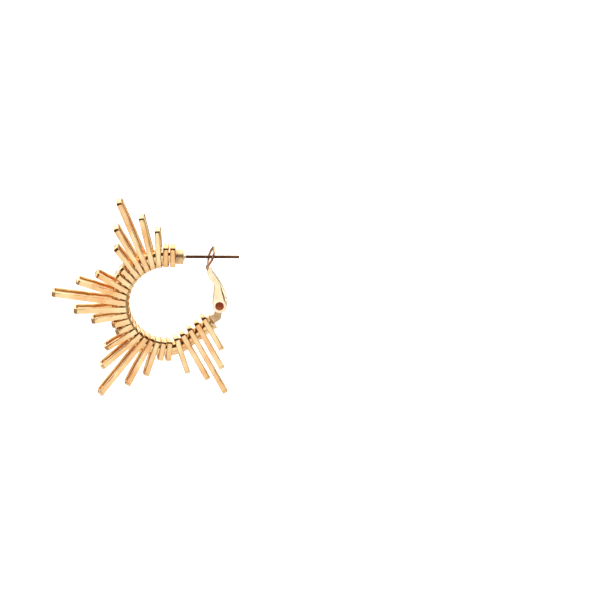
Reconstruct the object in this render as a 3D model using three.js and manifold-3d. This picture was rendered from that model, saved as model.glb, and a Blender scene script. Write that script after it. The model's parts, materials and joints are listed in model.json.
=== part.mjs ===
// A sunburst hoop earring: a hollow C-shaped tube strung with rectangular wire loops whose lengths make four
// star points, an ear post on the tube's top end, and a hinged lever whose ring closes over the post.
//
// Millimetres and degrees. +X runs along the post to its tip, +Y along the hoop's axis, +Z up.
// The origin is on the post's axis, where the ear lobe sits.

import * as THREE from 'three';
import { mergeVertices } from 'three/addons/utils/BufferGeometryUtils.js';
import Module from 'manifold-3d';

// ---- Driving dimensions ----

const SEAT_GAP = 0.03; // between faces that are soldered or pressed together
const TURN_GAP = 0.07; // between the rivet and the holes that turn on it
const CUT_PAST = 1; // how far a cutter runs past the face it cuts

// The hoop's centre line: straight past the post end, round the hoop, a bend, and a straight clasp end.
const HOOP_RADIUS = 12.4;
const HOOP_CENTRE = new THREE.Vector3(-8.3, 0, -12.2);
const HOOP_ARC = 184;
const BEND_RADIUS = 7;
const BEND_ARC = 34.6;
const TUBE_START = -2.35; // lengths along the centre line, from the point above the hoop's centre
const TUBE_END = 52.85;

// The tube's section is a flattened oval, so that it fills the loops' windows.
const TUBE_HEIGHT = 3.7;
const TUBE_DEPTH = 2.9;
const TUBE_WALL = 0.35;
const TUBE_HALF_SIDES = 8; // flat sides round half of the section
const TUBE_STEP = 1.5;

// The loops are bent from flat wire. Their long axis points out from the hoop, leaning back towards the
// post, and each sits askew on the tube, with its back bar nearer the post than its front bar. A loop is
// also twisted along its length, so that its back bar strays further at the tube than at the outer end.
const WIRE_WIDTH = 1.42;
const WIRE_THICKNESS = 0.75;
const LOOP_DEPTH = 4.6;
const LOOP_CORNER = 1.1;
const LOOP_INSIDE = 2.8; // from the hoop's centre line to a loop's inner end
const LOOP_LENGTHS = { short: 5.8, medium: 10.5, long: 14.6, longest: 20.3 };
const STAR_POINT = ['short', 'short', 'medium', 'long', 'longest', 'long', 'medium'];
const STAR_POINTS = 4;
const LOOP_LEAN = 7.4;
const LEAN_SWAY = 2.6; // the lean grows and shrinks by this much along the row of loops
const SWAY_LOOPS = 8; // how many loops one sway takes
const INNER_SKEW = 0.115; // how far a loop's ends run towards the post, for each millimetre of its depth
const OUTER_SKEW = 0.07;
const CLASP_LEAN = 2; // what the clasp loops have in its place
const LEAN_SHARES = [0, 0.2]; // the first loops, next to the post's cap, take only these shares
const SKEW_SHARES = [0, 0.7];
const FIRST_LOOP_AT = -1.6;
const LOOP_PITCH = 1.88;
const CLASP_LOOPS = 5; // the loops beyond the gap where the tube shows
const CLASP_GAP = 2.9;
const CLASP_PITCH = 2.36;
const CLASP_SINK = 0.35; // how much nearer the hoop's centre the clasp loops sit

// The post end
const CAP_RADIUS = 1.95;
const CAP_CHAMFER = 0.2;
const SPIGOT_RADIUS = 0.9;
const SPIGOT_LENGTH = 0.8;
const POST_CAP_LENGTH = 2.1;
const COLLAR_RADIUS = 0.65;
const COLLAR_LENGTH = 0.5;
const POST_RADIUS = 0.4;
const POST_LENGTH = 13.9;
const POST_TIP_CHAMFER = 0.12;
const ROUND_SIDES = 24;

// The clasp end
const CLASP_CAP_LENGTH = 0.5;
const PIVOT = new THREE.Vector3(5.48, 0, -12.7);
const CHEEK_RADIUS = 1.85; // the cheeks' round lower ends
const CHEEK_WALL = 0.4;
const HINGE_DEPTH = 3.8; // across the cheeks at the rivet
const NECK_DEPTH = 2.6; // across the channel at the ring
const TAPER_FROM = 1.2; // heights above the pivot between which the channel narrows
const TAPER_TO = 8.3;
const KNUCKLE_DEPTH = 2.2;
const KNUCKLE_RADIUS = 1.25;
const RIVET_RADIUS = 0.55;
const RIVET_HEAD_RADIUS = 1.12;
const RIVET_HEAD_HEIGHT = 0.28;
const RIVET_LENGTH = 4.4;
const LEAF_THICKNESS = 0.25;
const LEAF_DEPTH = 2;

// The ring that closes over the post, in its own plane
const RING_CENTRE = new THREE.Vector3(3.1, 0, -0.13);
const RING_TILT = 19.3;
const RING_TWIST = 8; // the ring is bent round by this much above its foot, with its front towards +X
const RING_RADIUS = 3.05;
const RING_HOLE_RADIUS = 2.1;
const RING_THICKNESS = 0.5;
const RING_FOOT = 3.15; // from the ring's centre down to the end of its foot
const RING_FOOT_WIDTH = 3.2;
const RING_FOOT_CHAMFER = 0.4;
const NECK_LAP = 0.6; // how far the lever's neck stands up behind the ring's foot

// ---- Materials ----

function metal(colour, roughness) {
  return new THREE.MeshStandardMaterial({ color: colour, roughness, metalness: 1 });
}
const GOLD = metal(0xe6b877, 0.25);
const PALE_GOLD = metal(0xf0cf97, 0.22);
const POST_METAL = metal(0x8a5f45, 0.3);
const RIVET_METAL = metal(0x9c4a2c, 0.35);

// ---- Solids ----

const wasm = await Module();
wasm.setup();

// A geometry's closed surface, with each position kept once and no triangle without area.
function closedSurface(geometry) {
  const bare = geometry.clone();
  bare.deleteAttribute('normal');
  bare.deleteAttribute('uv');
  const merged = mergeVertices(bare, 1e-4);
  const kept = [];
  for (let i = 0; i < merged.index.count; i += 3) {
    const corners = [0, 1, 2].map((k) => merged.index.getX(i + k));
    if (new Set(corners).size === 3) kept.push(...corners);
  }
  merged.setIndex(kept);
  return merged;
}

function toSolid(geometry) {
  const surface = closedSurface(geometry);
  return new wasm.Manifold(new wasm.Mesh({
    numProp: 3,
    vertProperties: new Float32Array(surface.attributes.position.array),
    triVerts: new Uint32Array(surface.index.array),
  }));
}

function toGeometry(solid) {
  const made = solid.getMesh();
  const geometry = new THREE.BufferGeometry();
  geometry.setAttribute('position', new THREE.BufferAttribute(made.vertProperties, 3));
  geometry.setIndex(new THREE.BufferAttribute(made.triVerts, 1));
  return shaded(geometry);
}

function shaded(geometry) {
  const flat = geometry.toNonIndexed();
  flat.computeVertexNormals();
  return flat;
}

function cutAway(geometry, ...cutters) {
  let solid = toSolid(geometry);
  for (const cutter of cutters) solid = solid.subtract(toSolid(cutter));
  return toGeometry(solid);
}

// A solid turned about the X axis from [distance along X, radius] points that start and end on the axis.
function turnedAlongX(points, sides = ROUND_SIDES) {
  const profile = points.map(([along, radius]) => new THREE.Vector2(radius, along));
  const geometry = new THREE.LatheGeometry(profile, sides);
  geometry.rotateZ(-Math.PI / 2);
  return shaded(closedSurface(geometry));
}

// A plate cut to an outline drawn in X and Z, with its thickness along Y.
function plateInXZ(shape, thickness, steps = 1) {
  const geometry = new THREE.ExtrudeGeometry(shape, {
    depth: thickness, steps, bevelEnabled: false, curveSegments: 8,
  });
  geometry.translate(0, 0, -thickness / 2);
  geometry.rotateX(Math.PI / 2);
  return geometry;
}

function cylinderAlongY(radius, length) {
  return new THREE.CylinderGeometry(radius, radius, length, ROUND_SIDES);
}

// ---- The hoop's centre line ----

// A place in the XZ plane and the heading of the line there, in degrees anticlockwise from +X.
function along(place, length, radius) {
  const from = THREE.MathUtils.degToRad(place.heading);
  if (radius === Infinity) {
    return {
      x: place.x + length * Math.cos(from), z: place.z + length * Math.sin(from), heading: place.heading,
    };
  }
  const to = from + length / radius;
  return {
    x: place.x + radius * (Math.sin(to) - Math.sin(from)),
    z: place.z + radius * (Math.cos(from) - Math.cos(to)),
    heading: THREE.MathUtils.radToDeg(to),
  };
}

function hoopAt(length) {
  const top = { x: HOOP_CENTRE.x, z: HOOP_CENTRE.z + HOOP_RADIUS, heading: 180 };
  if (length < 0) return along(top, length, Infinity);
  const arcLength = THREE.MathUtils.degToRad(HOOP_ARC) * HOOP_RADIUS;
  if (length < arcLength) return along(top, length, HOOP_RADIUS);
  const bend = along(top, arcLength, HOOP_RADIUS);
  const bendLength = THREE.MathUtils.degToRad(BEND_ARC) * BEND_RADIUS;
  const past = length - arcLength;
  if (past < bendLength) return along(bend, past, BEND_RADIUS);
  return along(along(bend, bendLength, BEND_RADIUS), past - bendLength, Infinity);
}

class HoopLine extends THREE.Curve {
  getPoint(t, target = new THREE.Vector3()) {
    const place = hoopAt(THREE.MathUtils.lerp(TUBE_START, TUBE_END, t));
    return target.set(place.x, 0, place.z);
  }
}

function ellipse(width, height, Kind) {
  const outline = new Kind();
  outline.absellipse(0, 0, width / 2, height / 2, 0, 2 * Math.PI, Kind === THREE.Path);
  return outline;
}

function hoopTube() {
  const section = ellipse(TUBE_HEIGHT, TUBE_DEPTH, THREE.Shape);
  section.holes.push(ellipse(TUBE_HEIGHT - 2 * TUBE_WALL, TUBE_DEPTH - 2 * TUBE_WALL, THREE.Path));
  return new THREE.ExtrudeGeometry(section, {
    steps: Math.round((TUBE_END - TUBE_START) / TUBE_STEP),
    curveSegments: TUBE_HALF_SIDES,
    extrudePath: new HoopLine(),
  });
}

// ---- Loops ----

function roundedRectangle(left, right, height, corner, Kind) {
  const outline = new Kind();
  const top = height / 2;
  outline.moveTo(left + corner, -top);
  outline.lineTo(right - corner, -top);
  outline.absarc(right - corner, -top + corner, corner, -Math.PI / 2, 0);
  outline.lineTo(right, top - corner);
  outline.absarc(right - corner, top - corner, corner, 0, Math.PI / 2);
  outline.lineTo(left + corner, top);
  outline.absarc(left + corner, top - corner, corner, Math.PI / 2, Math.PI);
  outline.lineTo(left, -top + corner);
  outline.absarc(left + corner, -top + corner, corner, Math.PI, 1.5 * Math.PI);
  return outline;
}

// A closed link of flat wire, with its long axis along X, its depth along Y and the wire's width along Z.
// It runs askew along Z from its front bar, which stays straight. share is how much of the skew it takes.
function wireLoop(length, share) {
  const inner = -LOOP_INSIDE;
  const outer = length - LOOP_INSIDE;
  const link = roundedRectangle(inner, outer, LOOP_DEPTH, LOOP_CORNER, THREE.Shape);
  link.holes.push(roundedRectangle(
    inner + WIRE_THICKNESS, outer - WIRE_THICKNESS, LOOP_DEPTH - 2 * WIRE_THICKNESS,
    LOOP_CORNER - WIRE_THICKNESS, THREE.Path,
  ));
  const geometry = new THREE.ExtrudeGeometry(link, {
    depth: WIRE_WIDTH, bevelEnabled: false, curveSegments: 2,
  });
  geometry.translate(0, 0, -WIRE_WIDTH / 2);
  const position = geometry.attributes.position;
  for (let i = 0; i < position.count; i += 1) {
    const skew = share * THREE.MathUtils.mapLinear(position.getX(i), inner, outer, INNER_SKEW, OUTER_SKEW);
    position.setZ(i, position.getZ(i) - skew * (position.getY(i) + LOOP_DEPTH / 2));
  }
  return shaded(closedSurface(geometry));
}

// A loop's lean beyond the common one turns it about its inner end, so that the inner ends stay evenly spaced.
function loopPlaces() {
  const kinds = Array(STAR_POINTS).fill(STAR_POINT).flat();
  const firstClaspLoop = kinds.length - CLASP_LOOPS;
  let length = FIRST_LOOP_AT;
  return kinds.map((kind, index) => {
    if (index === firstClaspLoop) length += CLASP_GAP;
    else if (index > firstClaspLoop) length += CLASP_PITCH;
    else if (index > 0) length += LOOP_PITCH;
    const onClasp = index >= firstClaspLoop;
    const share = LEAN_SHARES[index] ?? 1;
    const sway = onClasp ? CLASP_LEAN : share * LEAN_SWAY * Math.cos(2 * Math.PI * index / SWAY_LOOPS);
    const middle = hoopAt(length - LOOP_INSIDE * THREE.MathUtils.degToRad(sway));
    const outward = hoopAt(length).heading - 90 - share * LOOP_LEAN - sway;
    const place = along({ ...middle, heading: outward }, onClasp ? -CLASP_SINK : 0, Infinity);
    return { kind, x: place.x, z: place.z, outward, skewShare: SKEW_SHARES[index] ?? 1 };
  });
}

// ---- The post end ----

function cappedPlug(length) {
  return turnedAlongX([
    [-SPIGOT_LENGTH, 0],
    [-SPIGOT_LENGTH, SPIGOT_RADIUS],
    [SEAT_GAP, SPIGOT_RADIUS],
    [SEAT_GAP, CAP_RADIUS],
    [length - CAP_CHAMFER, CAP_RADIUS],
    [length, CAP_RADIUS - CAP_CHAMFER],
    [length, 0],
  ]);
}

function postCollar() {
  return turnedAlongX([
    [SEAT_GAP, 0],
    [SEAT_GAP, COLLAR_RADIUS],
    [COLLAR_LENGTH / 2, COLLAR_RADIUS],
    [COLLAR_LENGTH, POST_RADIUS],
    [COLLAR_LENGTH, 0],
  ]);
}

function earPost() {
  return turnedAlongX([
    [SEAT_GAP, 0],
    [SEAT_GAP, POST_RADIUS],
    [POST_LENGTH - POST_TIP_CHAMFER, POST_RADIUS],
    [POST_LENGTH, POST_RADIUS - POST_TIP_CHAMFER],
    [POST_LENGTH, 0],
  ], 12);
}

// ---- The clasp: outlines are drawn in X and Z from the pivot ----

// How deep the channel is, from cheek to cheek, at a height above the pivot.
function channelDepth(height) {
  return THREE.MathUtils.mapLinear(
    THREE.MathUtils.clamp(height, TAPER_FROM, TAPER_TO), TAPER_FROM, TAPER_TO, HINGE_DEPTH, NECK_DEPTH,
  );
}

// A plate whose thickness follows the channel's taper, less a wall on each side.
function taperedPlate(shape, wall) {
  const geometry = plateInXZ(shape, 1);
  const position = geometry.attributes.position;
  for (let i = 0; i < position.count; i += 1) {
    position.setY(i, position.getY(i) * (channelDepth(position.getZ(i)) - 2 * wall));
  }
  return geometry;
}

// The lever's back: an S from beside the pivot up to the neck, moved in by an offset.
function leverBack(inset) {
  return [
    [1.92 - inset, 0.5], [1.88 - inset, 1.7], [1.5 - inset, 3.3], [0.45 - 1.1 * inset, 5.5],
    [-0.9 - 1.1 * inset, 7.6], [-1.8 - 1.1 * inset, 8.9],
  ].map(([x, z]) => new THREE.Vector2(x, z));
}

// A place near the ring, from the pivot: forward of its mid-plane, and up from its centre along its plane.
function onRing(forward, rise) {
  const tilt = THREE.MathUtils.degToRad(RING_TILT);
  return [
    RING_CENTRE.x - PIVOT.x + forward * Math.cos(tilt) + rise * Math.sin(tilt),
    RING_CENTRE.z - PIVOT.z - forward * Math.sin(tilt) + rise * Math.cos(tilt),
  ];
}

// The neck at the top seats behind the ring's foot, and a small shoulder holds the foot up.
function leverOutline() {
  const behindRing = RING_THICKNESS / 2 + SEAT_GAP;
  const underFoot = -RING_FOOT - SEAT_GAP;
  const outline = new THREE.Shape();
  outline.absarc(0, 0, CHEEK_RADIUS, Math.PI, 2 * Math.PI);
  outline.splineThru(leverBack(0));
  outline.lineTo(-2.05, 10.15);
  outline.lineTo(...onRing(behindRing, underFoot + NECK_LAP));
  outline.lineTo(...onRing(behindRing, underFoot));
  outline.lineTo(...onRing(0, underFoot));
  outline.lineTo(-3.15, 8.3);
  outline.lineTo(-2.4, 6.6);
  outline.lineTo(-1.45, 5.9);
  outline.lineTo(-1.33, 5.3);
  outline.lineTo(-1.66, 2.3);
  outline.lineTo(-1.84, 0.5);
  return outline;
}

// The channel's hollow, open towards the hoop and below, where the knuckle comes in.
function channelHollow() {
  const back = leverBack(CHEEK_WALL);
  const hollow = new THREE.Shape();
  hollow.moveTo(-4, -3);
  hollow.lineTo(3, -3);
  hollow.lineTo(3, back[0].y);
  hollow.lineTo(back[0].x, back[0].y);
  hollow.splineThru(back.slice(1, 4));
  hollow.lineTo(-1.25, 6.7);
  hollow.lineTo(-4, 6.7);
  return hollow;
}

function claspLever() {
  return cutAway(
    taperedPlate(leverOutline(), 0),
    taperedPlate(channelHollow(), CHEEK_WALL),
    cylinderAlongY(RIVET_RADIUS + TURN_GAP, HINGE_DEPTH + 2 * CUT_PAST),
  );
}

// A place on the lower end cap's face, from the pivot: rise is its distance from the cap's axis.
function onClaspCap(rise) {
  const face = hoopAt(TUBE_END + CLASP_CAP_LENGTH + SEAT_GAP);
  const heading = THREE.MathUtils.degToRad(face.heading);
  return [
    face.x - PIVOT.x - rise * Math.sin(heading),
    face.z - PIVOT.z + rise * Math.cos(heading),
  ];
}

function hingeKnuckle() {
  const lug = new THREE.Shape();
  lug.absarc(0, 0, KNUCKLE_RADIUS, THREE.MathUtils.degToRad(-20), Math.PI);
  lug.lineTo(-1.25, -2.4);
  lug.lineTo(-2.6, -2.75);
  lug.lineTo(...onClaspCap(1.75));
  lug.lineTo(...onClaspCap(-0.5));
  lug.lineTo(0.3, -3.7);
  lug.lineTo(0.6, -2.1);
  return cutAway(
    plateInXZ(lug, KNUCKLE_DEPTH),
    cylinderAlongY(RIVET_RADIUS + TURN_GAP, KNUCKLE_DEPTH + 2 * CUT_PAST),
  );
}

function hingeRivet() {
  const half = RIVET_LENGTH / 2;
  const geometry = turnedAlongX([
    [-half, 0],
    [-half, RIVET_HEAD_RADIUS - RIVET_HEAD_HEIGHT / 2],
    [-half + RIVET_HEAD_HEIGHT / 2, RIVET_HEAD_RADIUS],
    [-half + RIVET_HEAD_HEIGHT, RIVET_HEAD_RADIUS],
    [-half + RIVET_HEAD_HEIGHT, RIVET_RADIUS],
    [half - RIVET_HEAD_HEIGHT, RIVET_RADIUS],
    [half - RIVET_HEAD_HEIGHT, RIVET_HEAD_RADIUS],
    [half - RIVET_HEAD_HEIGHT / 2, RIVET_HEAD_RADIUS],
    [half, RIVET_HEAD_RADIUS - RIVET_HEAD_HEIGHT / 2],
    [half, 0],
  ]);
  geometry.rotateZ(Math.PI / 2);
  return geometry;
}

// The sweep lays the strip's first axis across the channel, because its line starts out level with Y.
function springLeaf() {
  const strip = new THREE.Shape();
  strip.moveTo(-LEAF_DEPTH / 2, -LEAF_THICKNESS / 2);
  strip.lineTo(LEAF_DEPTH / 2, -LEAF_THICKNESS / 2);
  strip.lineTo(LEAF_DEPTH / 2, LEAF_THICKNESS / 2);
  strip.lineTo(-LEAF_DEPTH / 2, LEAF_THICKNESS / 2);
  const line = new THREE.CatmullRomCurve3([
    [-1.2, 6.3], [-0.55, 5.3], [0.3, 3.7], [0.75, 2.4], [0.55, 1.6],
  ].map(([x, z]) => new THREE.Vector3(x, 0, z)));
  return new THREE.ExtrudeGeometry(strip, { steps: 12, extrudePath: line });
}

function claspRing() {
  const foot = RING_FOOT_WIDTH / 2;
  const footAngle = Math.acos(foot / RING_RADIUS);
  const ring = new THREE.Shape();
  ring.moveTo(-foot + RING_FOOT_CHAMFER, -RING_FOOT);
  ring.lineTo(foot - RING_FOOT_CHAMFER, -RING_FOOT);
  ring.lineTo(foot, -RING_FOOT + RING_FOOT_CHAMFER);
  ring.absarc(0, 0, RING_RADIUS, -footAngle, Math.PI + footAngle);
  ring.lineTo(-foot, -RING_FOOT + RING_FOOT_CHAMFER);
  ring.holes.push(ellipse(2 * RING_HOLE_RADIUS, 2 * RING_HOLE_RADIUS, THREE.Path));
  const geometry = new THREE.ExtrudeGeometry(ring, {
    depth: RING_THICKNESS, bevelEnabled: false, curveSegments: 16,
  });
  geometry.translate(0, 0, -RING_THICKNESS / 2);
  const twistFrom = NECK_LAP - RING_FOOT;
  const upwards = new THREE.Vector3(0, 1, 0);
  const position = geometry.attributes.position;
  for (let i = 0; i < position.count; i += 1) {
    const share = THREE.MathUtils.clamp((position.getY(i) - twistFrom) / -twistFrom, 0, 1);
    const point = new THREE.Vector3().fromBufferAttribute(position, i);
    point.applyAxisAngle(upwards, THREE.MathUtils.degToRad(RING_TWIST * share));
    position.setXYZ(i, point.x, point.y, point.z);
  }
  return shaded(closedSurface(geometry));
}

// ---- Assembly ----

function named(name, geometry, material) {
  const mesh = new THREE.Mesh(geometry, material);
  mesh.name = name;
  return mesh;
}

// Turns a mesh about Y, so that its own X axis points at an angle anticlockwise from +X, seen along +Y.
function pointAt(mesh, degrees) {
  mesh.rotation.y = -THREE.MathUtils.degToRad(degrees);
}

function raysGroup() {
  const rays = new THREE.Group();
  loopPlaces().forEach((place, index) => {
    const loop = wireLoop(LOOP_LENGTHS[place.kind], place.skewShare);
    const ray = named(`ray_loop_${String(index + 1).padStart(2, '0')}`, loop, GOLD);
    ray.position.set(place.x, 0, place.z);
    pointAt(ray, place.outward);
    rays.add(ray);
  });
  return rays;
}

function postGroup() {
  const post = new THREE.Group();
  const capStart = hoopAt(TUBE_START).x;
  const cap = named('post_end_cap', cappedPlug(POST_CAP_LENGTH), PALE_GOLD);
  cap.position.x = capStart;
  const collar = named('post_collar', postCollar(), PALE_GOLD);
  collar.position.x = capStart + POST_CAP_LENGTH;
  const pin = named('ear_post', earPost(), POST_METAL);
  pin.position.x = capStart + POST_CAP_LENGTH + COLLAR_LENGTH;
  post.add(cap, collar, pin);
  return post;
}

function hingeGroup() {
  const hinge = new THREE.Group();
  const tubeEnd = hoopAt(TUBE_END);
  const cap = named('clasp_end_cap', cappedPlug(CLASP_CAP_LENGTH), PALE_GOLD);
  cap.position.set(tubeEnd.x, 0, tubeEnd.z);
  pointAt(cap, tubeEnd.heading);
  const knuckle = named('hinge_knuckle', hingeKnuckle(), PALE_GOLD);
  knuckle.position.copy(PIVOT);
  const rivet = named('hinge_rivet', hingeRivet(), RIVET_METAL);
  rivet.position.copy(PIVOT);
  hinge.add(cap, knuckle, rivet);
  return hinge;
}

function claspGroup() {
  const clasp = new THREE.Group();
  const lever = named('clasp_lever', claspLever(), PALE_GOLD);
  lever.position.copy(PIVOT);
  const leaf = named('spring_leaf', springLeaf(), GOLD);
  leaf.position.copy(PIVOT);
  const ring = named('clasp_ring', claspRing(), GOLD);
  const tilt = THREE.MathUtils.degToRad(RING_TILT);
  const across = new THREE.Vector3(0, 1, 0);
  const up = new THREE.Vector3(Math.sin(tilt), 0, Math.cos(tilt));
  ring.applyMatrix4(new THREE.Matrix4().makeBasis(across, up, across.clone().cross(up)));
  ring.position.copy(RING_CENTRE);
  clasp.add(lever, leaf, ring);
  return clasp;
}

const earring = new THREE.Group();
earring.add(named('hoop_tube', hoopTube(), GOLD), raysGroup(), postGroup(), hingeGroup(), claspGroup());

export default earring;
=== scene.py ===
# A sunburst hoop earring in plated metal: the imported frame, with a detailed piece for every solid in it.
#
# Lengths are in millimetres until a mesh is made, and places are in the frame's axes: +X along the post
# to its tip, +Y along the hoop's axis, +Z up, with the origin on the post where the ear lobe sits.

import json
import math
import random

import bmesh
import bpy
from mathutils import Matrix, Vector

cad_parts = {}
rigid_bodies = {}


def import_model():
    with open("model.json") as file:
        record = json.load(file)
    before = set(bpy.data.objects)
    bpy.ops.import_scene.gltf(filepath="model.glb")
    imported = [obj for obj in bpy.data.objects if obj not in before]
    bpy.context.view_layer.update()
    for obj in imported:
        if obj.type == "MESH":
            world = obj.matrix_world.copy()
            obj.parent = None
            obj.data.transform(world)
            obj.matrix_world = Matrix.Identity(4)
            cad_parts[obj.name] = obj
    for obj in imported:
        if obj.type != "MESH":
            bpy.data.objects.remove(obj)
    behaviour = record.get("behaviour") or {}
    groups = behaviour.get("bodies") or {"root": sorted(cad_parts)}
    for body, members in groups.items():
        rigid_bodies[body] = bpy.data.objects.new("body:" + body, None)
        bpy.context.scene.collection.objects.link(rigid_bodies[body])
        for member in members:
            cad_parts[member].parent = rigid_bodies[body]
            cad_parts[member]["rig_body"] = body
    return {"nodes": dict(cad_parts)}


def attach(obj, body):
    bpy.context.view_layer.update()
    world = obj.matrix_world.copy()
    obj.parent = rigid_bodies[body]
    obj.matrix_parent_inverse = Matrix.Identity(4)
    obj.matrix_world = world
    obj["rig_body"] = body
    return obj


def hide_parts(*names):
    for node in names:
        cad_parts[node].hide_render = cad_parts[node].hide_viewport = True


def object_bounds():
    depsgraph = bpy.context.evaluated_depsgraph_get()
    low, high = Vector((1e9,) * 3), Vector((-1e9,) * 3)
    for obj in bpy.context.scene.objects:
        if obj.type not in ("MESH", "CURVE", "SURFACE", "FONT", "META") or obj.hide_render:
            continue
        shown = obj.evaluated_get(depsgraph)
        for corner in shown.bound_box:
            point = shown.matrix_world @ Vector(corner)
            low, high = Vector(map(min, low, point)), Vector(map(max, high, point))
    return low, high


MM = 0.001

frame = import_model()
cad_low, cad_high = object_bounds()
dice = random.Random(28)

# ---- Driving dimensions, the same as the solids' ----

HOOP_RADIUS = 12.4
HOOP_CENTRE = Vector((-8.3, 0, -12.2))
HOOP_ARC = 184
BEND_RADIUS = 7
BEND_ARC = 34.6
TUBE_START = -2.35  # lengths along the centre line, from the point above the hoop's centre
TUBE_END = 52.85
TUBE_HEIGHT = 3.7
TUBE_DEPTH = 2.9
TUBE_WALL = 0.35
TUBE_LIP = 0.08  # how far the tube's ends are rounded
TUBE_CUTS = 150

WIRE_WIDTH = 1.42
WIRE_THICKNESS = 0.75
WIRE_EDGE = 0.1  # the radius of the flat wire's edges
WIRE_CROWN = 0.02  # how far its faces bulge
WIRE_CUT = 1.6  # between the cross-sections of a straight stretch
BOW = (-0.012, 0.03)  # the least and most that a link's bars bow in
LOOP_DEPTH = 4.6
LOOP_CORNER = 1.1
LOOP_INSIDE = 2.8  # from the hoop's centre line to a loop's inner end
LOOP_LENGTHS = {"short": 5.8, "medium": 10.5, "long": 14.6, "longest": 20.3}
STAR_POINT = ["short", "short", "medium", "long", "longest", "long", "medium"]
STAR_POINTS = 4
LOOP_LEAN = 7.4
LEAN_SWAY = 2.6  # the lean grows and shrinks by this much along the row of loops
SWAY_LOOPS = 8  # how many loops one sway takes
CLASP_LEAN = 2  # the clasp loops' sway, which is the same for all of them
INNER_SKEW = 0.115  # how far a loop's ends run towards the post, for each millimetre of its depth
OUTER_SKEW = 0.07
LEAN_SHARES = {0: 0, 1: 0.2}  # of the loops next to the post's cap
SKEW_SHARES = {0: 0, 1: 0.7}
FIRST_LOOP_AT = -1.6
LOOP_PITCH = 1.88
CLASP_LOOPS = 5
CLASP_GAP = 2.9
CLASP_PITCH = 2.36
CLASP_SINK = 0.35  # how much nearer the hoop's centre the clasp loops sit

CAP_RADIUS = 1.95
GROOVE_FROM = 0.42  # along the post's cap, which has a turned groove
GROOVE_WIDTH = 0.2
GROOVE_DEPTH = 0.07
GROOVE_SLOPE = 0.05
SPIGOT_RADIUS = 0.9
SPIGOT_LENGTH = 0.8
POST_CAP_LENGTH = 2.1
COLLAR_RADIUS = 0.65
COLLAR_LENGTH = 0.5
POST_RADIUS = 0.4
POST_LENGTH = 13.9
POST_NOSE = 0.3  # the rounded stretch at the post's tip
POST_NOSE_DEPTH = 0.24
SEAT_GAP = 0.03  # between faces that are soldered or pressed together
TURN_GAP = 0.07  # between the rivet and the holes that turn on it
CUT_PAST = 1.1  # how far a cutter runs past the face it cuts

CLASP_CAP_LENGTH = 0.5
PIVOT = Vector((5.48, 0, -12.7))
CHEEK_RADIUS = 1.85  # the cheeks' round lower ends
CHEEK_WALL = 0.4
HINGE_DEPTH = 3.8  # across the cheeks at the rivet
NECK_DEPTH = 2.6  # across the channel at the ring
TAPER_FROM = 1.2  # heights above the pivot between which the channel narrows
TAPER_TO = 8.3
LEVER_RIM = 0.1  # the radius of the lever's rims
BACK_FOLD = 0.8  # what the fold down its back has beyond that
KNUCKLE_DEPTH = 2.2
KNUCKLE_RADIUS = 1.25
KNUCKLE_RIM = 0.16
RIVET_RADIUS = 0.55
RIVET_HEAD_RADIUS = 1.12
RIVET_HEAD_HEIGHT = 0.28
RIVET_LENGTH = 4.4
LEAF_THICKNESS = 0.25
LEAF_DEPTH = 2

RING_CENTRE = Vector((3.1, 0, -0.13))
RING_TILT = 19.3
RING_TWIST = 8  # the ring is bent round by this much above its foot, with its front towards +X
RING_RADIUS = 3.05
RING_HOLE_RADIUS = 2.1
RING_THICKNESS = 0.5
RING_RIM = 0.17
RING_FOOT = 3.15  # from the ring's centre down to the end of its foot
RING_FOOT_WIDTH = 3.2
RING_FOOT_CHAMFER = 0.4
NECK_LAP = 0.6  # how far the lever's neck stands up behind the ring's foot

# ---- Small helpers ----


def smooth_step(value, start, end):
    share = min(1.0, max(0.0, (value - start) / (end - start)))
    return share * share * (3 - 2 * share)


def turned(angle):
    """The unit vector at an angle in degrees, anticlockwise from the first axis."""
    return Vector((math.cos(math.radians(angle)), math.sin(math.radians(angle))))


def arc(centre, radius, start, end, steps):
    """Points in a plane on an arc between two angles in degrees, both ends included."""
    return [Vector(centre) + radius * turned(start + (end - start) * i / steps) for i in range(steps + 1)]


def spline(points, steps):
    """A Catmull-Rom curve through points, with some steps between each two."""
    points = [Vector(p) for p in points]
    padded = [2 * points[0] - points[1], *points, 2 * points[-1] - points[-2]]
    line = []
    for before, a, b, after in zip(padded, padded[1:], padded[2:], padded[3:]):
        for step in range(steps):
            t = step / steps
            line.append(0.5 * (
                2 * a + (b - before) * t + (2 * before - 5 * a + 4 * b - after) * t ** 2
                + (3 * a - before - 3 * b + after) * t ** 3
            ))
    line.append(points[-1])
    return line


def filleted(points, radii, closed=True, steps=5):
    """A polyline with each corner rounded. radii is one radius, or one for each point."""
    points = [Vector(p) for p in points]
    count = len(points)
    radii = radii if isinstance(radii, (list, tuple)) else [radii] * count
    line = []
    for i, corner in enumerate(points):
        if radii[i] == 0 or (not closed and i in (0, count - 1)):
            line.append(corner)
            continue
        back = points[i - 1] - corner
        ahead = points[(i + 1) % count] - corner
        half = back.angle(ahead) / 2
        cut = min(radii[i] / math.tan(half), 0.48 * back.length, 0.48 * ahead.length)
        start = corner + back.normalized() * cut
        end = corner + ahead.normalized() * cut
        for step in range(steps + 1):
            t = step / steps
            line.append(start * (1 - t) ** 2 + corner * 2 * t * (1 - t) + end * t ** 2)
    return line


def outline_normals(points):
    """Outward normals of a closed anticlockwise outline, stretched so that an offset keeps its distance."""
    normals = []
    count = len(points)
    for i in range(count):
        back = (points[i] - points[i - 1]).normalized()
        ahead = (points[(i + 1) % count] - points[i]).normalized()
        middle = (back + ahead).normalized()
        out = Vector((middle.y, -middle.x))
        spread = max(0.6, out.dot(Vector((back.y, -back.x))))
        normals.append(out / spread)
    return normals


# ---- Surfaces: each is (vertices, faces, grain), and grain runs along the piece's drawing direction ----

FLAT_BAND = 0.05  # of a plate's face, inside its rounded rim


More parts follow.
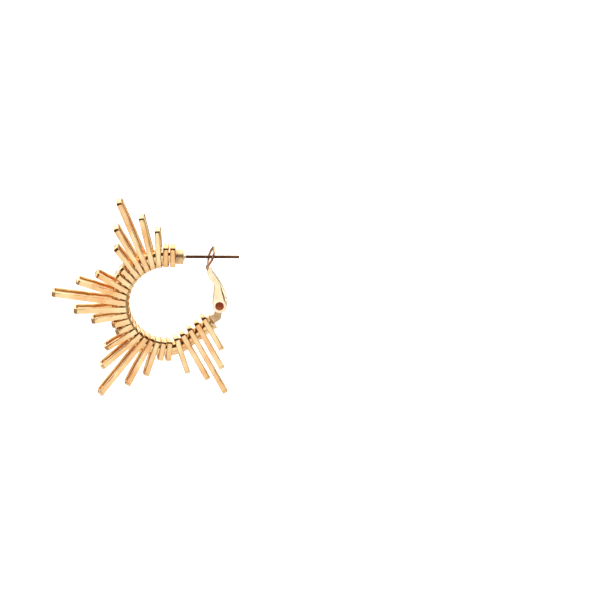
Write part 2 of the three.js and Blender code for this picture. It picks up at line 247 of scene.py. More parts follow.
def skin(rings, grain, wraps=False, capped=True):
    """A closed surface through rings of points of one size. wraps joins the last ring to the first."""
    size = len(rings[0])
    vertices = [point for ring in rings for point in ring]
    faces = []
    for i in range(len(rings) if wraps else len(rings) - 1):
        here = i * size
        there = (i + 1) % len(rings) * size
        for j in range(size):
            k = (j + 1) % size
            faces.append((here + j, here + k, there + k, there + j))
    if not wraps and capped:
        faces.append(tuple(reversed(range(size))))
        faces.append(tuple(range(len(vertices) - size, len(vertices))))
    return vertices, faces, [point for ring in grain for point in ring]


def turned_solid(profile, sides=64):
    """A solid turned about X from (along, radius) points, the first and last of them on the axis."""
    rings = []
    grain = []
    for along, radius in profile[1:-1]:
        circle = arc((0, 0), radius, 0, 360, sides)[:-1]
        rings.append([Vector((along, p.x, p.y)) for p in circle])
        grain.append([
            Vector((radius * 2 * math.pi * i / sides, along, radius)) for i in range(sides)
        ])
    vertices, faces, grain = skin(rings, grain, capped=False)
    for end, first in ((0, 0), (-1, len(vertices) - sides)):
        tip = len(vertices)
        vertices.append(Vector((profile[end][0], 0, 0)))
        grain.append(Vector((0, profile[end][0], 0)))
        faces.extend((first + i, first + (i + 1) % sides, tip) for i in range(sides))
    return vertices, faces, grain


def plate(outline, edge, half_depth, steps=5):
    """A plate in XZ with its thickness along Y and rounded rims. edge(point) is the rim's radius there.

    A flat band runs inside each rim, so that the shading of the rim ends at the band.
    """
    normals = outline_normals(outline)
    turns = [math.radians(90 * step / steps) for step in range(steps + 1)]
    levels = [(1 - math.cos(turn), 1 - math.sin(turn), 0) for turn in turns] + [(1, 0, FLAT_BAND)]
    rings = []
    for side in (-1, 1):
        for inward, down, band in levels:
            ring = []
            for point, normal in zip(outline, normals):
                moved = point - normal * (edge(point) * inward + band)
                depth = half_depth - edge(point) * down
                ring.append(Vector((moved.x, side * depth, moved.y)))
            rings.append(ring)
        if side == -1:
            rings.reverse()
    grain = [[Vector((p.z, p.x, p.y)) for p in ring] for ring in rings]
    return skin(rings, grain)


def moved(surface, matrix):
    vertices, faces, grain = surface
    return [matrix @ v for v in vertices], faces, grain


# ---- Meshes and pieces ----


def somewhere():
    """Where a piece's grain starts."""
    return Vector((dice.uniform(0, 400), dice.uniform(0, 40), dice.uniform(0, 40)))


def to_mesh(name, surface, shaped=None):
    """One mesh from a surface in millimetres, with the grain kept as a point attribute.

    shaped works on the bmesh before it is brought to metres.
    """
    offset = somewhere()
    shape = bmesh.new()
    layer = shape.verts.layers.float_vector.new("grain")
    vertices, faces, grain = surface
    made = []
    for place, along in zip(vertices, grain):
        vertex = shape.verts.new(place)
        vertex[layer] = along + offset
        made.append(vertex)
    for face in faces:
        shape.faces.new([made[i] for i in face])
    bmesh.ops.recalc_face_normals(shape, faces=shape.faces)
    if shaped is not None:
        shaped(shape)
    bmesh.ops.scale(shape, vec=(MM, MM, MM), verts=shape.verts)
    mesh = bpy.data.meshes.new(name)
    shape.to_mesh(mesh)
    shape.free()
    return mesh


def finished(mesh, sharp_from=None):
    """Smooth shading, with edges sharper than an angle in degrees kept crisp."""
    mesh.shade_smooth()
    if sharp_from is not None:
        mesh.set_sharp_from_angle(angle=math.radians(sharp_from))
    return mesh


def piece(name, mesh, material, node, place=None):
    """Puts a mesh in the scene in a CAD node's stead, riding on that node's body."""
    made = bpy.data.objects.new(name, mesh)
    bpy.context.scene.collection.objects.link(made)
    if place is not None:
        made.matrix_world = place
    mesh.materials.append(material)
    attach(made, frame["nodes"][node]["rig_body"])
    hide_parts(node)
    return made


def even_faces(made):
    """Keeps broad faces flat in the shading, and lets the narrow rims turn."""
    weights = made.modifiers.new("flat faces", "WEIGHTED_NORMAL")
    weights.keep_sharp = True
    weights.weight = 80


# ---- Metals ----

# The scale of the plate's noises, in lumps to the millimetre
DRIFT_SCALE = 0.16
SMUDGE_SCALE = 0.9
WAVE_SCALE = 0.22
LINE_STRETCH = (0.25, 9.0, 9.0)
NOISE_ROUGHNESS = 0.55

# How high the relief stands, in metres, and how much of it counts
WAVE_HEIGHT = 3e-4
PIT_HEIGHT = 3e-6
PIT_STRENGTH = 0.35
LINE_HEIGHT = 4e-6
LINE_STRENGTH = 0.6


def noise_of(tree, source, scale, detail, name):
    texture = tree.nodes.new("ShaderNodeTexNoise")
    texture.label = name
    texture.inputs["Scale"].default_value = scale
    texture.inputs["Detail"].default_value = detail
    texture.inputs["Roughness"].default_value = NOISE_ROUGHNESS
    tree.links.new(source, texture.inputs["Vector"])
    return texture.outputs["Fac"]


def spread(tree, source, low, high, to_low, to_high):
    remap = tree.nodes.new("ShaderNodeMapRange")
    for key, value in (
        ("From Min", low), ("From Max", high), ("To Min", to_low), ("To Max", to_high),
    ):
        remap.inputs[key].default_value = value
    tree.links.new(source, remap.inputs["Value"])
    return remap.outputs["Result"]


def bump(tree, height, strength, distance, before=None):
    relief = tree.nodes.new("ShaderNodeBump")
    relief.inputs["Strength"].default_value = strength
    relief.inputs["Distance"].default_value = distance
    tree.links.new(height, relief.inputs["Height"])
    if before is not None:
        tree.links.new(before, relief.inputs["Normal"])
    return relief.outputs["Normal"]


def plated_metal(name, light, deep, roughness, waviness=1.0, lines=1.0):
    """Polished plate with a slow drift between two colours, smudged gloss, drawing lines and faint waves.

    They all follow the grain attribute, which is in millimetres and starts elsewhere on each piece.
    """
    material = bpy.data.materials.new(name)
    material.use_nodes = True
    tree = material.node_tree
    shader = tree.nodes["Principled BSDF"]
    shader.inputs["Metallic"].default_value = 1.0

    grain = tree.nodes.new("ShaderNodeAttribute")
    grain.attribute_name = "grain"
    place = grain.outputs["Vector"]
    stretch = tree.nodes.new("ShaderNodeMapping")
    stretch.inputs["Scale"].default_value = LINE_STRETCH
    tree.links.new(place, stretch.inputs["Vector"])
    drawn = stretch.outputs["Vector"]

    drift = spread(tree, noise_of(tree, place, DRIFT_SCALE, 2, "colour drift"), 0.34, 0.66, 0, 1)
    tone = tree.nodes.new("ShaderNodeMix")
    tone.data_type = "RGBA"
    tone.inputs["A"].default_value = (*light, 1)
    tone.inputs["B"].default_value = (*deep, 1)
    tree.links.new(drift, tone.inputs["Factor"])
    tree.links.new(tone.outputs["Result"], shader.inputs["Base Color"])

    smudges = noise_of(tree, place, SMUDGE_SCALE, 4, "smudges")
    fine_lines = noise_of(tree, drawn, 1.0, 3, "drawing lines")
    mixed = tree.nodes.new("ShaderNodeMath")
    mixed.operation = "ADD"
    tree.links.new(smudges, mixed.inputs[0])
    tree.links.new(fine_lines, mixed.inputs[1])
    tree.links.new(
        spread(tree, mixed.outputs["Value"], 0.75, 1.3, roughness * 0.7, roughness * 1.5),
        shader.inputs["Roughness"],
    )

    waves = bump(tree, noise_of(tree, place, WAVE_SCALE, 1, "waves"), 1.0, WAVE_HEIGHT * waviness)
    pits = bump(tree, smudges, PIT_STRENGTH, PIT_HEIGHT, waves)
    tree.links.new(
        bump(tree, fine_lines, LINE_STRENGTH, LINE_HEIGHT * lines, pits), shader.inputs["Normal"]
    )
    return material


GOLD = plated_metal("plated gold", (1.0, 0.77, 0.42), (0.92, 0.50, 0.21), 0.12)
PALE_GOLD = plated_metal("pale plated gold", (1.0, 0.89, 0.64), (1.0, 0.77, 0.47), 0.16, waviness=0.7)
SATIN_GOLD = plated_metal("satin plated gold", (0.98, 0.74, 0.42), (0.84, 0.54, 0.29), 0.36, waviness=0.7)
ROSE_GOLD = plated_metal("rubbed rose gold", (0.82, 0.50, 0.30), (0.40, 0.20, 0.11), 0.24, waviness=0.7)
# Painted shade: a darker satin gold for the clasp cap and the hinge lug, standing for the shade in the pocket
# between the last loop and the hinge. Only its drift between two tones is random.
SHADE_PAINTED_GOLD = plated_metal("gold darkened for painted shade", (1.0, 0.76, 0.46), (0.60, 0.35, 0.17), 0.30, waviness=0.9)
POST_METAL = plated_metal("worn copper plate", (0.24, 0.11, 0.06), (0.10, 0.042, 0.024), 0.30)
RIVET_METAL = plated_metal("dark copper", (0.62, 0.17, 0.08), (0.36, 0.075, 0.03), 0.32, lines=0.4)

# ---- The hoop's centre line ----


def walk(place, heading, length, radius=None):
    """Where a line gets to in XZ after a length, straight or round an arc. Headings are in radians."""
    if radius is None:
        return place + length * Vector((math.cos(heading), math.sin(heading))), heading
    to = heading + length / radius
    turn = Vector((math.sin(to) - math.sin(heading), math.cos(heading) - math.cos(to)))
    return place + radius * turn, to


def hoop_at(length):
    """The centre line's point in XZ and its heading, a length on from the point above the hoop's centre."""
    top = Vector((HOOP_CENTRE.x, HOOP_CENTRE.z + HOOP_RADIUS))
    if length < 0:
        return walk(top, math.pi, length)
    arc_length = math.radians(HOOP_ARC) * HOOP_RADIUS
    if length < arc_length:
        return walk(top, math.pi, length, HOOP_RADIUS)
    bend_length = math.radians(BEND_ARC) * BEND_RADIUS
    past = length - arc_length
    bend = walk(top, math.pi, arc_length, HOOP_RADIUS)
    if past < bend_length:
        return walk(*bend, past, BEND_RADIUS)
    return walk(*walk(*bend, bend_length, BEND_RADIUS), past - bend_length)


def oval(length, height, depth, sides=56):
    """The tube's section at a length: a ring in the frame, with its grain."""
    centre, heading = hoop_at(length)
    out = Vector((math.sin(heading), 0, -math.cos(heading)))
    across = Vector((0, 1, 0))
    roughly_round = 3 * height
    ring = []
    grain = []
    for i in range(sides):
        side = turned(360 * i / sides)
        offset = out * side.x * height / 2 + across * side.y * depth / 2
        ring.append(Vector((centre.x, 0, centre.y)) + offset)
        grain.append(Vector((length, roughly_round * i / sides, 0)))
    return ring, grain


def hoop_tube():
    """The hollow tube, with rounded lips at its two ends."""
    rounded = 0.3 * TUBE_LIP
    lengths = [TUBE_START + (TUBE_END - TUBE_START) * i / TUBE_CUTS for i in range(TUBE_CUTS + 1)]
    lengths[0] += TUBE_LIP
    lengths[-1] -= TUBE_LIP
    stations = [(length, 0) for length in lengths]
    stations += [(TUBE_END - rounded, rounded), (TUBE_END, TUBE_LIP), (TUBE_END, TUBE_WALL)]
    stations += [(length, TUBE_WALL) for length in reversed(lengths)]
    stations += [(TUBE_START, TUBE_WALL), (TUBE_START, TUBE_LIP), (TUBE_START + rounded, rounded)]
    sections = [oval(length, TUBE_HEIGHT - 2 * inset, TUBE_DEPTH - 2 * inset) for length, inset in stations]
    return skin([s[0] for s in sections], [s[1] for s in sections], wraps=True)


# ---- The ray loops ----


def wire_section():
    """Points round the flat wire's section as (across, out), with rounded edges and crowned faces."""
    points = []
    for quarter in range(4):
        out = turned(90 + 90 * quarter)
        side = turned(180 + 90 * quarter)
        rise = abs(out.x) * WIRE_WIDTH / 2 + abs(out.y) * WIRE_THICKNESS / 2 - WIRE_CROWN
        half = abs(side.x) * WIRE_WIDTH / 2 + abs(side.y) * WIRE_THICKNESS / 2 - WIRE_CROWN - WIRE_EDGE
        for step in (-1, -0.5, 0, 0.5, 1):
            points.append(out * (rise + WIRE_CROWN * (1 - step ** 2)) + side * half * step)
        corner = out * (rise - WIRE_EDGE) + side * half
        for turn in (0.25, 0.5, 0.75):
            angle = math.radians(90 * turn)
            points.append(corner + WIRE_EDGE * (out * math.cos(angle) + side * math.sin(angle)))
    return points


def link_line(length):
    """The wire's centre line round a link: (along, deep) points, each with its outward normal."""
    half = Vector((length, LOOP_DEPTH)) / 2 - Vector((WIRE_THICKNESS, WIRE_THICKNESS)) / 2
    radius = LOOP_CORNER - WIRE_THICKNESS / 2
    line = []
    for quarter in range(4):
        signs = Vector(((1, 1), (-1, 1), (-1, -1), (1, -1))[quarter])
        centre = Vector((signs.x * (half.x - radius), signs.y * (half.y - radius)))
        for step in range(9):
            out = turned(90 * quarter + 90 * step / 8)
            line.append((centre + out * radius, out))
        run = 2 * ((half.x if quarter % 2 == 0 else half.y) - radius)
        out = turned(90 * quarter + 90)
        ahead = turned(90 * quarter + 180)
        cuts = max(2, round(run / WIRE_CUT))
        for cut in range(1, cuts):
            line.append((centre + out * radius + ahead * run * cut / cuts, out))
    return line


def wire_link(length, share):
    """A closed link of flat wire: along X, deep along Y, the wire's width along Z, askew from its front bar.

    share is how much of the skew it takes.
    """
    section = wire_section()
    bow = dice.uniform(*BOW)
    rings = []
    grain = []
    travelled = 0
    before = None
    for place, out in link_line(length):
        travelled += (place - before).length if before is not None else 0
        before = place
        reach = 2 * place.x / length
        pull = bow * (1 - reach ** 2) * abs(out.y)
        ring = []
        for p in section:
            spot = place + out * (p.y - pull)
            skew = share * (INNER_SKEW + (OUTER_SKEW - INNER_SKEW) * (spot.x / length + 0.5))
            ring.append(Vector((
                spot.x + length / 2 - LOOP_INSIDE, spot.y, p.x - skew * (spot.y + LOOP_DEPTH / 2),
            )))
        rings.append(ring)
        grain.append([Vector((travelled, p.x, p.y)) for p in section])
    return skin(rings, grain, wraps=True)


def loop_places():
    """Each loop's kind, its place on the hoop's centre line, its outward angle and its share of the skew."""
    kinds = STAR_POINT * STAR_POINTS
    first_clasp_loop = len(kinds) - CLASP_LOOPS
    length = FIRST_LOOP_AT
    places = []
    for index, kind in enumerate(kinds):
        if index == first_clasp_loop:
            length += CLASP_GAP
        elif index > first_clasp_loop:
            length += CLASP_PITCH
        elif index > 0:
            length += LOOP_PITCH
        on_clasp = index >= first_clasp_loop
        share = LEAN_SHARES.get(index, 1)
        sway = math.radians(
            CLASP_LEAN if on_clasp else share * LEAN_SWAY * math.cos(2 * math.pi * index / SWAY_LOOPS)
        )
        outward = hoop_at(length)[1] - math.pi / 2 - math.radians(share * LOOP_LEAN) - sway
        middle = hoop_at(length - LOOP_INSIDE * sway)[0]
        place = walk(middle, outward, -CLASP_SINK if on_clasp else 0)[0]
        places.append((kind, place, outward, SKEW_SHARES.get(index, 1)))
    return places


def make_loops():
    for index, (kind, spot, outward, share) in enumerate(loop_places()):
        number = f"{index + 1:02d}"
        place = Matrix.Translation(Vector((spot.x, 0, spot.y)) * MM) @ Matrix.Rotation(-outward, 4, "Y")
        mesh = finished(to_mesh(f"ray loop {number}", wire_link(LOOP_LENGTHS[kind], share)))
        piece(f"wire_link_{number}", mesh, GOLD, f"ray_loop_{number}", place)


# ---- The post end ----


def along_post(start):
    return Matrix.Translation(Vector((start, 0, 0)) * MM)


def plug_profile(length, grooved):
    """An end cap: a spigot inside the tube and a rim, which on the grooved one ends in a low dome."""
    rim = CAP_RADIUS
    corners = [
        (-SPIGOT_LENGTH, 0), (-SPIGOT_LENGTH, SPIGOT_RADIUS), (SEAT_GAP, SPIGOT_RADIUS), (SEAT_GAP, rim),
    ]
    radii = [0, 0.12, 0.05, 0.1]
    if grooved:
        groove_to = GROOVE_FROM + GROOVE_WIDTH
        corners += [
            (GROOVE_FROM, rim), (GROOVE_FROM + GROOVE_SLOPE, rim - GROOVE_DEPTH),
            (groove_to - GROOVE_SLOPE, rim - GROOVE_DEPTH), (groove_to, rim),
            (length - 0.12, rim), (length - 0.1, rim - 0.25), (length, SPIGOT_RADIUS),
        ]
        radii += [0.04, 0.04, 0.04, 0.04, 0.1, 0.08, 0.3]
    else:
        corners.append((length, rim))
        radii.append(0.16)
    return filleted([*corners, (length, 0)], [*radii, 0], closed=False)


def make_post():
    start = hoop_at(TUBE_START)[0].x
    cap = finished(to_mesh("post cap", turned_solid(plug_profile(POST_CAP_LENGTH, True))))
    piece("post_cap", cap, SATIN_GOLD, "post_end_cap", along_post(start))

    start += POST_CAP_LENGTH
    profile = filleted([
        (SEAT_GAP, 0), (SEAT_GAP, COLLAR_RADIUS), (COLLAR_LENGTH / 2, COLLAR_RADIUS),
        (COLLAR_LENGTH, POST_RADIUS), (COLLAR_LENGTH, 0),
    ], [0, 0.08, 0.2, 0.05, 0], closed=False)
    piece(
        "post_shoulder", finished(to_mesh("post shoulder", turned_solid(profile, 48))), PALE_GOLD,
        "post_collar", along_post(start),
    )

    start += COLLAR_LENGTH
    nose = POST_LENGTH - POST_NOSE
    stations = [(SEAT_GAP, 0), (SEAT_GAP, POST_RADIUS)]
    stations += [(0.4 + 1.2 * i, POST_RADIUS) for i in range(11)]
    stations += [(nose, POST_RADIUS)]
    stations += [
        (nose + POST_NOSE * math.sin(turn), POST_RADIUS - POST_NOSE_DEPTH * (1 - math.cos(turn)))
        for turn in (0.35, 0.7, 1.05, 1.4, math.pi / 2)
    ]
    stations += [(POST_LENGTH, 0)]
    pin = finished(to_mesh("ear pin", turned_solid(stations, 40)))
    piece("ear_pin", pin, POST_METAL, "ear_post", along_post(start))


# ---- The clasp end: outlines are in X and Z from the pivot ----


def at_pivot():
    return Matrix.Translation(PIVOT * MM)


def on_clasp_cap(rise):
    """A place on the lower end cap's face, a distance from the cap's axis."""
    centre, heading = hoop_at(TUBE_END + CLASP_CAP_LENGTH + SEAT_GAP)
    return centre - Vector((PIVOT.x, PIVOT.z)) + rise * Vector((-math.sin(heading), math.cos(heading)))


def on_ring(forward, rise):
    """A place near the clasp's ring: forward of its mid-plane, and up from its centre along its plane."""
    tilt = math.radians(RING_TILT)
    return Vector((
        RING_CENTRE.x - PIVOT.x + forward * math.cos(tilt) + rise * math.sin(tilt),
        RING_CENTRE.z - PIVOT.z - forward * math.sin(tilt) + rise * math.cos(tilt),
    ))


def make_hinge():
    centre, heading = hoop_at(TUBE_END)
    place = Matrix.Translation(Vector((centre.x, 0, centre.y)) * MM) @ Matrix.Rotation(-heading, 4, "Y")
    cap = finished(to_mesh("clasp cap", turned_solid(plug_profile(CLASP_CAP_LENGTH, False))))
    # The clasp cap and the hinge lug below take the darker gold, which is painted shade, not tarnish.
    piece("clasp_cap", cap, SHADE_PAINTED_GOLD, "clasp_end_cap", place)

    top = arc((0, 0), KNUCKLE_RADIUS, -20, 180, 24)
    foot = [(-1.25, -2.4), (-2.6, -2.75), on_clasp_cap(1.75), on_clasp_cap(-0.5), (0.3, -3.7), (0.6, -2.1)]
    outline = filleted(top + foot, [0] * len(top) + [0.5, 0.35, 0.24, 0.24, 0.5, 0.6])
    solid = plate(outline, lambda p: KNUCKLE_RIM, KNUCKLE_DEPTH / 2)
    lug = finished(to_mesh("hinge lug", solid))
    even_faces(piece("hinge_lug", lug, SHADE_PAINTED_GOLD, "hinge_knuckle", at_pivot()))

    half = RIVET_LENGTH / 2
    seat = half - RIVET_HEAD_HEIGHT
    # From the head's middle out: a low boss, a turned groove, a raised ring and a rounded rim
    head = [
        (half, 0.0), (half - 0.005, 0.45), (half - 0.03, 0.62), (half - 0.05, 0.68), (half - 0.03, 0.74),
        (half - 0.045, 0.85), (half - 0.1, RIVET_HEAD_RADIUS - 0.08), (half - 0.17, RIVET_HEAD_RADIUS - 0.02),
        (half - 0.22, RIVET_HEAD_RADIUS), (seat, RIVET_HEAD_RADIUS), (seat, RIVET_RADIUS),
    ]
    profile = [(-along, radius) for along, radius in head] + list(reversed(head))
    rivet = moved(turned_solid(profile, 56), Matrix.Rotation(math.pi / 2, 4, "Z"))
    piece("rivet", finished(to_mesh("rivet", rivet), 50), RIVET_METAL, "hinge_rivet", at_pivot())


def channel_depth(height):
    """How deep the channel is across its cheeks, at a height above the pivot."""
    share = min(1.0, max(0.0, (height - TAPER_FROM) / (TAPER_TO - TAPER_FROM)))
    return HINGE_DEPTH + (NECK_DEPTH - HINGE_DEPTH) * share


def lever_back(inset):
    """The channel's back from beside the pivot up to the neck, moved in by an offset."""
    return [
        Vector(p) for p in (
            (1.92 - inset, 0.5), (1.88 - inset, 1.7), (1.5 - inset, 3.3), (0.45 - 1.1 * inset, 5.5),
            (-0.9 - 1.1 * inset, 7.6), (-1.8 - 1.1 * inset, 8.9),
        )
    ]


def cut(target, *cutters):
    """Takes closed meshes away from a mesh, and gives back the new mesh."""
    body = bpy.data.objects.new("cut", target)
    bpy.context.scene.collection.objects.link(body)
    others = []
    for mesh in cutters:
        other = bpy.data.objects.new("cutter", mesh)
        bpy.context.scene.collection.objects.link(other)
        others.append(other)
        difference = body.modifiers.new("cut", "BOOLEAN")
        difference.operation = "DIFFERENCE"
        difference.solver = "EXACT"
        difference.object = other
    bpy.context.view_layer.update()
    evaluated = body.evaluated_get(bpy.context.evaluated_depsgraph_get())
    mesh = bpy.data.meshes.new_from_object(evaluated)
    for used in (body, *others):
        bpy.data.objects.remove(used)
    return mesh


def plate_grain(mesh):
    """Gives a cut plate its grain anew, as cutting leaves none at the new edges."""
    offset = somewhere()
    for vertex, grain in zip(mesh.vertices, mesh.attributes["grain"].data):
        grain.vector = Vector((vertex.co.z, vertex.co.x, vertex.co.y)) / MM + offset
    return mesh


def tapered(shape):
    """Narrows a plate of the hinge's depth as the channel narrows, with a crease at the taper's ends."""
    for height in (TAPER_FROM, TAPER_TO):
        bmesh.ops.bisect_plane(
            shape, geom=[*shape.verts, *shape.edges, *shape.faces], plane_co=(0, 0, height),
            plane_no=(0, 0, 1),
        )
    for vertex in shape.verts:
        inward = (HINGE_DEPTH - channel_depth(vertex.co.z)) / 2
        vertex.co.y -= math.copysign(inward, vertex.co.y)


def clasp_lever():
    """The stamped channel: a D-shaped shell with a broad fold down its back, hollowed out from the front."""
    behind_ring = RING_THICKNESS / 2 + SEAT_GAP
    under_foot = -RING_FOOT - SEAT_GAP
    curves = arc((0, 0), CHEEK_RADIUS, 180, 352, 36) + spline(lever_back(0), 9)
    corners = [
        (-2.05, 10.15), on_ring(behind_ring, under_foot + NECK_LAP), on_ring(behind_ring, under_foot),
        on_ring(0, under_foot), (-3.15, 8.3), (-2.4, 6.6), (-1.45, 5.9), (-1.33, 5.3), (-1.66, 2.3),
        (-1.84, 0.5),
    ]
    radii = [0.3, 0.3, 0.2, 0.2, 1.2, 0.5, 0.4, 0.5, 2, 1.2]
    outline = filleted(curves + corners, [0] * len(curves) + radii)

    def fold(point):
        """The rim's radius: broad down the back, narrow everywhere else."""
        back = 1.92 - 0.062 * max(0, point.y - 1.7) ** 1.9  # close to where lever_back runs
        near_back = smooth_step(point.x, back - 0.9, back - 0.3)
        rise = smooth_step(point.y, -0.3, 2.2) * (1 - smooth_step(point.y, 7.4, 9.2))
        return LEVER_RIM + BACK_FOLD * near_back * rise

    shell = to_mesh("lever shell", plate(outline, fold, HINGE_DEPTH / 2, steps=8), tapered)

    # The hollow runs on past the shell below and in front, where the channel is open
    hollow_back = spline(lever_back(CHEEK_WALL)[:4], 9)
    hollow = [Vector(p) for p in ((-4, -3), (3, -3), (3, hollow_back[0].y))]
    hollow += hollow_back
    hollow += [Vector((-1.25, 6.7)), Vector((-4, 6.7))]
    inside = plate(
        hollow, lambda p: 0.02 + 0.4 * smooth_step(p.y, 0.6, 2) * smooth_step(p.x, -1.3, -0.6),
        HINGE_DEPTH / 2 - CHEEK_WALL,
    )
    past = HINGE_DEPTH / 2 + CUT_PAST
    radius = RIVET_RADIUS + TURN_GAP
    hole = moved(
        turned_solid([(-past, 0), (-past, radius), (past, radius), (past, 0)], 40),
        Matrix.Rotation(math.pi / 2, 4, "Z"),
    )
    return plate_grain(cut(shell, to_mesh("hollow", inside, tapered), to_mesh("rivet hole", hole)))


def spring_leaf():
    """The thin leaf inside the channel, swept along its bow with rounded edges."""
    line = spline([(-1.2, 6.3), (-0.55, 5.3), (0.3, 3.7), (0.75, 2.4), (0.55, 1.6)], 8)
    section = filleted(
        [
            (-LEAF_DEPTH / 2, -LEAF_THICKNESS / 2), (LEAF_DEPTH / 2, -LEAF_THICKNESS / 2),
            (LEAF_DEPTH / 2, LEAF_THICKNESS / 2), (-LEAF_DEPTH / 2, LEAF_THICKNESS / 2),
        ],
        0.08, steps=3,
    )
    rings = []
    grain = []
    for i, place in enumerate(line):
        ahead = (line[min(i + 1, len(line) - 1)] - line[max(i - 1, 0)]).normalized()
        out = Vector((-ahead.y, ahead.x))
        rings.append([Vector((place.x + out.x * p.y, p.x, place.y + out.y * p.y)) for p in section])
        grain.append([Vector((i * 0.2, p.x, p.y)) for p in section])
    return skin(rings, grain)


def ring_reach(angle):
    """The ring's outer radius at an angle from its top, wider where it squares off into its foot."""
    across = abs(math.sin(angle))
    down = -math.cos(angle)
    if down <= 0:
        return RING_RADIUS
    half = RING_FOOT_WIDTH / 2
    to_side = half / max(across, 1e-6)
    to_foot = RING_FOOT / down
    to_chamfer = (half + RING_FOOT - RING_FOOT_CHAMFER) / (across + down)
    return max(RING_RADIUS, min(to_side, to_foot, to_chamfer))


def twisted(point):
    """A point of the ring bent round its upright axis: not at its foot, and fully from its middle up."""
    twist_from = NECK_LAP - RING_FOOT
    share = min(1.0, max(0.0, (point.z - twist_from) / -twist_from))
    return Matrix.Rotation(math.radians(RING_TWIST * share), 3, "Z") @ point


def clasp_ring():
    """The flat ring with rounded rims, about its own centre: Y across, Z up its plane, X through it."""
    half = RING_THICKNESS / 2
    sides = 120
    rings = []
    grain = []
    for i in range(sides):
        angle = 2 * math.pi * i / sides
        outer = ring_reach(angle)
        corners = filleted(
            [(RING_HOLE_RADIUS, -half), (outer, -half), (outer, half), (RING_HOLE_RADIUS, half)],
            RING_RIM, steps=4,
        )
        rings.append([twisted(Vector((p.y, p.x * math.sin(angle), p.x * math.cos(angle)))) for p in corners])
        grain.append([Vector((angle * RING_RADIUS, p.x, p.y)) for p in corners])
    return skin(rings, grain, wraps=True)


def make_clasp():
    lever = finished(clasp_lever(), 38)
    even_faces(piece("lever_channel", lever, PALE_GOLD, "clasp_lever", at_pivot()))
    leaf = finished(to_mesh("leaf", spring_leaf()), 60)
    piece("snap_leaf", leaf, GOLD, "spring_leaf", at_pivot())
    place = Matrix.Translation(RING_CENTRE * MM) @ Matrix.Rotation(math.radians(RING_TILT), 4, "Y")
    ring = finished(to_mesh("post ring", clasp_ring()))
    even_faces(piece("post_ring", ring, ROSE_GOLD, "clasp_ring", place))


# ---- Studio: a white floor, a light tent drawn in the world, and the camera ----

FLOOR_SIZE = 8.0  # metres
FLOOR_GAP = 5e-5  # metres under the earring
FLOOR_GLOW = 0.45
FLOOR_GREY = 0.92
BACKGROUND_WHITE = 1.2

# Where the camera looks from, in degrees, and how the frame is set
CAMERA_AZIMUTH = -2.5
CAMERA_ELEVATION = 13
CAMERA_ROLL = -0.8
CAMERA_LENS = 180
CAMERA_AWAY = 780  # from the hoop's centre, along the view
CAMERA_ASIDE = Vector((34.72, 0.65))  # of the hoop's centre, to the right and up

# What the metal reflects, painted one over the other as soft round patches on the sky: azimuth from the
# camera's side towards +X, elevation, the radius that is full, the radius where it ends, and the brightness.
BACKDROP = 1.65
WARM_DARK = (1.0, 0.69, 0.44)  # the tint of what is dim
PATCHES = [
    ("dim below the horizon", 0, -90, 86, 100, 0.34),
    ("floor", 0, -90, 40, 60, 0.95),
    ("dark room in front", 0, 32, 50, 64, 0.06),
    ("dim room, right", 42, -10, 16, 28, 0.34),
    ("dim room, left", -42, -10, 16, 28, 0.34),
    ("table in front", 0, -20, 7, 26, 1.06),
    ("card in front", 0, -2, 4, 9, 1.25),
    ("top box", 10, 88, 32, 44, 1.8),
]


def direction(azimuth, elevation):
    flat = math.cos(math.radians(elevation))
    return Vector((
        math.sin(math.radians(azimuth)) * flat, -math.cos(math.radians(azimuth)) * flat,
        math.sin(math.radians(elevation)),
    ))


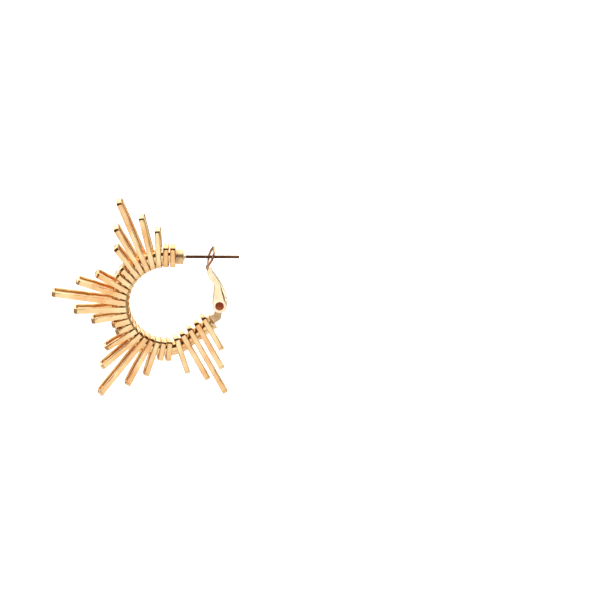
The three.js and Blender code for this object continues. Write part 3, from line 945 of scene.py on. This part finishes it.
def make_sky():
    """Glossy and diffuse rays see the patches of the light tent, and the camera sees plain white."""
    world = bpy.data.worlds.new("light tent")
    bpy.context.scene.world = world
    world.use_nodes = True
    tree = world.node_tree
    background = tree.nodes["Background"]
    toward = tree.nodes.new("ShaderNodeTexCoord").outputs["Generated"]
    level = None
    for name, azimuth, elevation, full, ends, brightness in PATCHES:
        dot = tree.nodes.new("ShaderNodeVectorMath")
        dot.operation = "DOT_PRODUCT"
        dot.inputs[1].default_value = direction(azimuth, elevation)
        tree.links.new(toward, dot.inputs[0])
        mask = tree.nodes.new("ShaderNodeMapRange")
        mask.interpolation_type = "SMOOTHSTEP"
        mask.label = name
        mask.inputs["From Min"].default_value = math.cos(math.radians(ends))
        mask.inputs["From Max"].default_value = math.cos(math.radians(full))
        tree.links.new(dot.outputs["Value"], mask.inputs["Value"])
        mix = tree.nodes.new("ShaderNodeMix")
        mix.inputs["A"].default_value = BACKDROP
        mix.inputs["B"].default_value = brightness
        tree.links.new(mask.outputs["Result"], mix.inputs["Factor"])
        if level is not None:
            tree.links.new(level, mix.inputs["A"])
        level = mix.outputs["Result"]
    tint = tree.nodes.new("ShaderNodeMix")
    tint.data_type = "RGBA"
    tint.inputs["A"].default_value = (*WARM_DARK, 1)
    tint.inputs["B"].default_value = (1, 1, 1, 1)
    tree.links.new(level, tint.inputs["Factor"])
    tree.links.new(tint.outputs["Result"], background.inputs["Color"])
    seen = tree.nodes.new("ShaderNodeLightPath").outputs["Is Camera Ray"]
    plain = tree.nodes.new("ShaderNodeMix")
    plain.inputs["B"].default_value = BACKGROUND_WHITE
    tree.links.new(seen, plain.inputs["Factor"])
    tree.links.new(level, plain.inputs["A"])
    tree.links.new(plain.outputs["Result"], background.inputs["Strength"])


def make_floor():
    bpy.ops.mesh.primitive_plane_add(size=FLOOR_SIZE, location=(0, 0, cad_low.z - FLOOR_GAP))
    floor = bpy.context.object
    floor.name = "floor"
    floor.visible_glossy = False
    material = bpy.data.materials.new("white paper")
    material.use_nodes = True
    shader = material.node_tree.nodes["Principled BSDF"]
    shader.inputs["Base Color"].default_value = (FLOOR_GREY, FLOOR_GREY, FLOOR_GREY, 1)
    shader.inputs["Roughness"].default_value = 0.9
    shader.inputs["Specular IOR Level"].default_value = 0.1
    shader.inputs["Emission Color"].default_value = (1, 1, 1, 1)
    shader.inputs["Emission Strength"].default_value = FLOOR_GLOW
    floor.data.materials.append(material)


def make_camera():
    data = bpy.data.cameras.new("camera")
    data.lens = CAMERA_LENS
    data.sensor_width = 36
    data.clip_start = 0.01
    data.clip_end = 50
    camera = bpy.data.objects.new("camera", data)
    bpy.context.scene.collection.objects.link(camera)
    azimuth, elevation, roll = (math.radians(a) for a in (CAMERA_AZIMUTH, CAMERA_ELEVATION, CAMERA_ROLL))
    forward = Vector((
        -math.sin(azimuth) * math.cos(elevation), math.cos(azimuth) * math.cos(elevation),
        -math.sin(elevation),
    ))
    level = Vector((math.cos(azimuth), math.sin(azimuth), 0))
    upright = level.cross(forward)
    right = level * math.cos(roll) - upright * math.sin(roll)
    up = level * math.sin(roll) + upright * math.cos(roll)
    place = HOOP_CENTRE - forward * CAMERA_AWAY + right * CAMERA_ASIDE.x + up * CAMERA_ASIDE.y
    turn = Matrix((right, up, -forward)).transposed().to_4x4()
    camera.matrix_world = Matrix.Translation(place * MM) @ turn
    bpy.context.scene.camera = camera


make_camera()
make_sky()
make_floor()
bpy.context.scene.view_settings.view_transform = "Standard"

piece("tube", finished(to_mesh("tube", hoop_tube()), 50), GOLD, "hoop_tube")
make_loops()
make_post()
make_hinge()
make_clasp()
